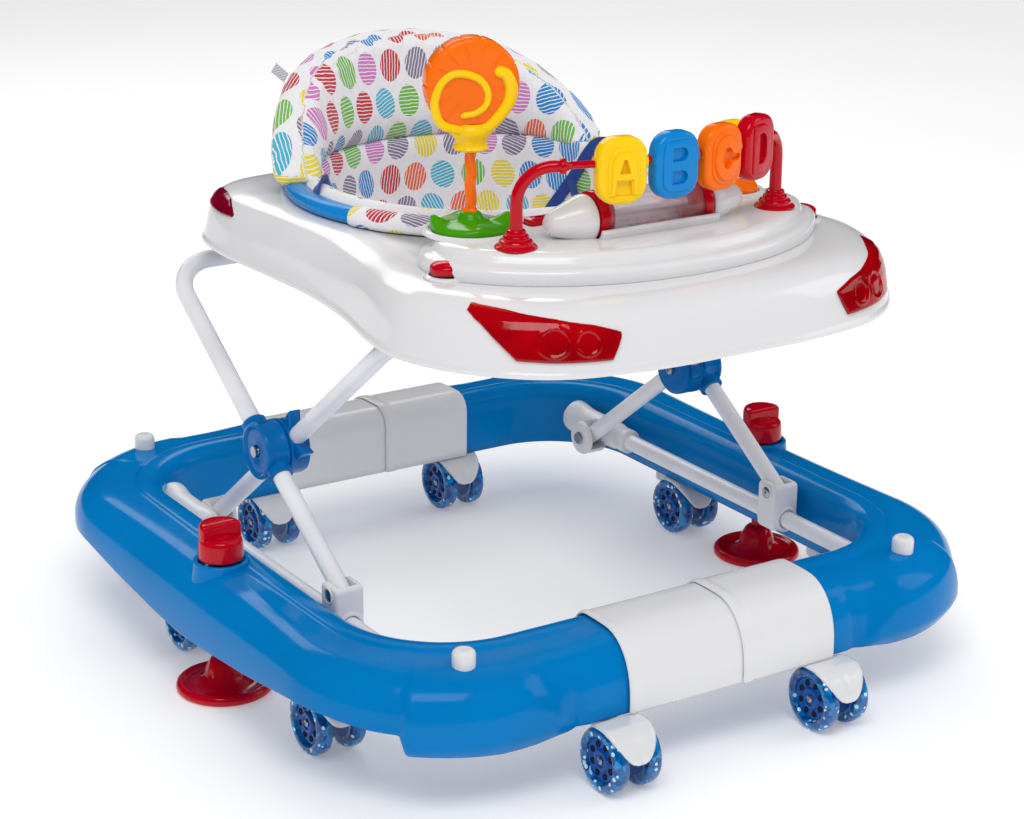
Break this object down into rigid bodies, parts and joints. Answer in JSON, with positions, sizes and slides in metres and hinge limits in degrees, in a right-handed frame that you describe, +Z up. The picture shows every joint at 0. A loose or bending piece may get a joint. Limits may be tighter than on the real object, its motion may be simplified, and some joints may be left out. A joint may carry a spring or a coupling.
{
  "type": "baby walker",
  "caption": "Baby walker with a caster-mounted ring base, a folding scissor lift and a toy tray with a padded seat.",
  "frame": {"origin": "centre of the whole object's footprint, on the floor", "axes": "+Z up; the toy tray's front faces -Y; +X is the seated child's left"},
  "size_m": [0.6708, 0.7062, 0.577],
  "materials": {
    "ring_blue": "gloss",
    "white_plastic": "gloss",
    "white_tube": "gloss",
    "zinc_screw": "satin",
    "red_plastic": "gloss",
    "wheel_blue": "translucent with glitter",
    "red_lens": "translucent gloss",
    "dark_red_lens": "translucent gloss",
    "yellow_plastic": "gloss",
    "toy_blue": "gloss",
    "orange_plastic": "gloss",
    "green_plastic": "gloss",
    "clear_plastic": "clear gloss",
    "seat_blue": "gloss",
    "seat_print": "printed cotton",
    "navy_webbing": "webbing"
  },
  "bodies": {
    "base": {"base_left": "ring_blue", "base_right": "ring_blue", "front_sleeves": "white_plastic", "rear_sleeves": "white_plastic", "corner_plugs": "white_plastic", "rails": "white_tube", "rear_pivot_brackets": "white_plastic", "pivot_pins": "zinc_screw"},
    "stopper_knob_left": {"stopper_knob_left": "red_plastic"},
    "stopper_knob_right": {"stopper_knob_right": "red_plastic"},
    "stopper_foot_left": {"stopper_foot_left": "red_plastic"},
    "stopper_foot_right": {"stopper_foot_right": "red_plastic"},
    "front_lift": {"front_lift_tube": "white_tube", "hub_inner": "ring_blue", "hub_pins": "zinc_screw"},
    "rear_lift": {"rear_lift_tube": "white_tube", "hub_outer": "ring_blue"},
    "sliders": {"sliders": "white_plastic"},
    "tray": {"tray_shell": "white_plastic", "tray_brackets": "white_plastic", "headlights": "red_lens", "tail_lights": "dark_red_lens", "console": "white_plastic", "arch_frame": "red_plastic", "arch_grommets": "red_plastic", "flower_socket": "green_plastic", "spinner_base": "orange_plastic", "seat_ring": "seat_blue", "seat_fabric": "seat_print", "back_rest": "seat_print", "seat_straps": "navy_webbing"},
    "latch_left": {"latch_left": "red_plastic"},
    "latch_right": {"latch_right": "red_plastic"},
    "music_button": {"music_button": "red_plastic"},
    "letter_a": {"letter_a": "yellow_plastic"},
    "letter_b": {"letter_b": "toy_blue"},
    "letter_c": {"letter_c": "orange_plastic"},
    "letter_d": {"letter_d": "red_plastic"},
    "drum": {"drum_tube": "clear_plastic", "drum_caps": "red_plastic"},
    "lollipop": {"lollipop_stem": "orange_plastic", "lollipop_disc": "orange_plastic"},
    "spinner": {"spinner_toy": "yellow_plastic"},
    "caster_1": {"caster_fork_1": "white_plastic"},
    "wheels_1": {"caster_wheels_1": "wheel_blue"},
    "caster_2": {"caster_fork_2": "white_plastic"},
    "wheels_2": {"caster_wheels_2": "wheel_blue"},
    "caster_3": {"caster_fork_3": "white_plastic"},
    "wheels_3": {"caster_wheels_3": "wheel_blue"},
    "caster_4": {"caster_fork_4": "white_plastic"},
    "wheels_4": {"caster_wheels_4": "wheel_blue"},
    "caster_5": {"caster_fork_5": "white_plastic"},
    "wheels_5": {"caster_wheels_5": "wheel_blue"},
    "caster_6": {"caster_fork_6": "white_plastic"},
    "wheels_6": {"caster_wheels_6": "wheel_blue"},
    "caster_7": {"caster_fork_7": "white_plastic"},
    "wheels_7": {"caster_wheels_7": "wheel_blue"},
    "caster_8": {"caster_fork_8": "white_plastic"},
    "wheels_8": {"caster_wheels_8": "wheel_blue"}
  },
  "joints": [
    {"name": "fold", "type": "hinge", "parent": "base", "child": "front_lift", "pos_m": [0, 0.1824, 0.086], "axis": [1, 0, 0], "range_deg": [0, 24]},
    {"name": "hub_turn", "type": "hinge", "parent": "front_lift", "child": "rear_lift", "pos_m": [0, 0.0354, 0.2], "axis": [1, 0, 0], "range_deg": [-51.22, 0]},
    {"name": "slider_turn", "type": "hinge", "parent": "rear_lift", "child": "sliders", "pos_m": [0, -0.0956, 0.113], "axis": [1, 0, 0], "range_deg": [0, 27.22]},
    {"name": "tray_level", "type": "hinge", "parent": "rear_lift", "child": "tray", "pos_m": [0, 0.21912, 0.32201], "axis": [1, 0, 0], "range_deg": [0, 27.22]},
    {"name": "stopper_left", "type": "hinge", "parent": "base", "child": "stopper_knob_left", "pos_m": [-0.293, 0.0074, 0.122], "axis": [0, 0, 1], "range_deg": [0, 90]},
    {"name": "stopper_left_lift", "type": "slide", "parent": "base", "child": "stopper_foot_left", "axis": [0, 0, 1], "range_m": [0, 0.01]},
    {"name": "stopper_right", "type": "hinge", "parent": "base", "child": "stopper_knob_right", "pos_m": [0.293, 0.0074, 0.122], "axis": [0, 0, 1], "range_deg": [0, 90]},
    {"name": "stopper_right_lift", "type": "slide", "parent": "base", "child": "stopper_foot_right", "axis": [0, 0, 1], "range_m": [0, 0.01]},
    {"name": "caster_1_swivel", "type": "hinge", "parent": "base", "child": "caster_1", "pos_m": [-0.107, -0.2866, 0.07], "axis": [0, 0, 1], "continuous": true},
    {"name": "wheels_1_spin", "type": "hinge", "parent": "caster_1", "child": "wheels_1", "pos_m": [-0.107, -0.3246, 0.028], "axis": [1, 0, 0], "continuous": true},
    {"name": "caster_2_swivel", "type": "hinge", "parent": "base", "child": "caster_2", "pos_m": [0.107, -0.2866, 0.07], "axis": [0, 0, 1], "continuous": true},
    {"name": "wheels_2_spin", "type": "hinge", "parent": "caster_2", "child": "wheels_2", "pos_m": [0.107, -0.3246, 0.028], "axis": [1, 0, 0], "continuous": true},
    {"name": "caster_3_swivel", "type": "hinge", "parent": "base", "child": "caster_3", "pos_m": [-0.273, -0.1046, 0.07], "axis": [0, 0, 1], "continuous": true},
    {"name": "wheels_3_spin", "type": "hinge", "parent": "caster_3", "child": "wheels_3", "pos_m": [-0.273, -0.1426, 0.028], "axis": [1, 0, 0], "continuous": true},
    {"name": "caster_4_swivel", "type": "hinge", "parent": "base", "child": "caster_4", "pos_m": [0.273, -0.1046, 0.07], "axis": [0, 0, 1], "continuous": true},
    {"name": "wheels_4_spin", "type": "hinge", "parent": "caster_4", "child": "wheels_4", "pos_m": [0.273, -0.1426, 0.028], "axis": [1, 0, 0], "continuous": true},
    {"name": "caster_5_swivel", "type": "hinge", "parent": "base", "child": "caster_5", "pos_m": [-0.273, 0.1374, 0.07], "axis": [0, 0, 1], "continuous": true},
    {"name": "wheels_5_spin", "type": "hinge", "parent": "caster_5", "child": "wheels_5", "pos_m": [-0.273, 0.0994, 0.028], "axis": [1, 0, 0], "continuous": true},
    {"name": "caster_6_swivel", "type": "hinge", "parent": "base", "child": "caster_6", "pos_m": [0.273, 0.1374, 0.07], "axis": [0, 0, 1], "continuous": true},
    {"name": "wheels_6_spin", "type": "hinge", "parent": "caster_6", "child": "wheels_6", "pos_m": [0.273, 0.0994, 0.028], "axis": [1, 0, 0], "continuous": true},
    {"name": "caster_7_swivel", "type": "hinge", "parent": "base", "child": "caster_7", "pos_m": [-0.107, 0.3194, 0.07], "axis": [0, 0, 1], "continuous": true},
    {"name": "wheels_7_spin", "type": "hinge", "parent": "caster_7", "child": "wheels_7", "pos_m": [-0.107, 0.2814, 0.028], "axis": [1, 0, 0], "continuous": true},
    {"name": "caster_8_swivel", "type": "hinge", "parent": "base", "child": "caster_8", "pos_m": [0.107, 0.3194, 0.07], "axis": [0, 0, 1], "continuous": true},
    {"name": "wheels_8_spin", "type": "hinge", "parent": "caster_8", "child": "wheels_8", "pos_m": [0.107, 0.2814, 0.028], "axis": [1, 0, 0], "continuous": true},
    {"name": "letter_a_spin", "type": "hinge", "parent": "tray", "child": "letter_a", "pos_m": [-0.05144, -0.22699, 0.485], "axis": [0.9799, -0.1994, 0], "continuous": true},
    {"name": "letter_b_spin", "type": "hinge", "parent": "tray", "child": "letter_b", "pos_m": [-0.0036, -0.23214, 0.485], "axis": [0.9999, -0.014, 0], "continuous": true},
    {"name": "letter_c_spin", "type": "hinge", "parent": "tray", "child": "letter_c", "pos_m": [0.04436, -0.22832, 0.485], "axis": [0.9851, 0.1719, 0], "continuous": true},
    {"name": "letter_d_spin", "type": "hinge", "parent": "tray", "child": "letter_d", "pos_m": [0.08993, -0.21598, 0.485], "axis": [0.9373, 0.3486, 0], "continuous": true},
    {"name": "drum_roll", "type": "hinge", "parent": "tray", "child": "drum", "pos_m": [0, -0.1906, 0.434], "axis": [1, 0, 0], "continuous": true},
    {"name": "lollipop_turn", "type": "hinge", "parent": "tray", "child": "lollipop", "pos_m": [-0.131, -0.1336, 0.45], "axis": [0, 0, 1], "continuous": true},
    {"name": "spinner_turn", "type": "hinge", "parent": "tray", "child": "spinner", "pos_m": [0.131, -0.1336, 0.45], "axis": [0, 0, 1], "continuous": true},
    {"name": "music_button_press", "type": "slide", "parent": "tray", "child": "music_button", "axis": [0, 0, -1], "range_m": [0, 0.003], "stiffness_N_per_m": 300, "springref_m": -0.001},
    {"name": "latch_left_press", "type": "slide", "parent": "tray", "child": "latch_left", "axis": [0, 0, -1], "range_m": [0, 0.0025], "stiffness_N_per_m": 300, "springref_m": -0.001},
    {"name": "latch_right_press", "type": "slide", "parent": "tray", "child": "latch_right", "axis": [0, 0, -1], "range_m": [0, 0.0025], "stiffness_N_per_m": 300, "springref_m": -0.001}
  ],
  "couplings": [
    {"joint": "hub_turn", "follows": "fold", "ratio": -2.13},
    {"joint": "slider_turn", "follows": "fold", "ratio": 1.13},
    {"joint": "tray_level", "follows": "fold", "ratio": 1.13},
    {"joint": "stopper_left_lift", "follows": "stopper_left", "m_per_rad": 0.006365},
    {"joint": "stopper_right_lift", "follows": "stopper_right", "m_per_rad": 0.006365}
  ]
}
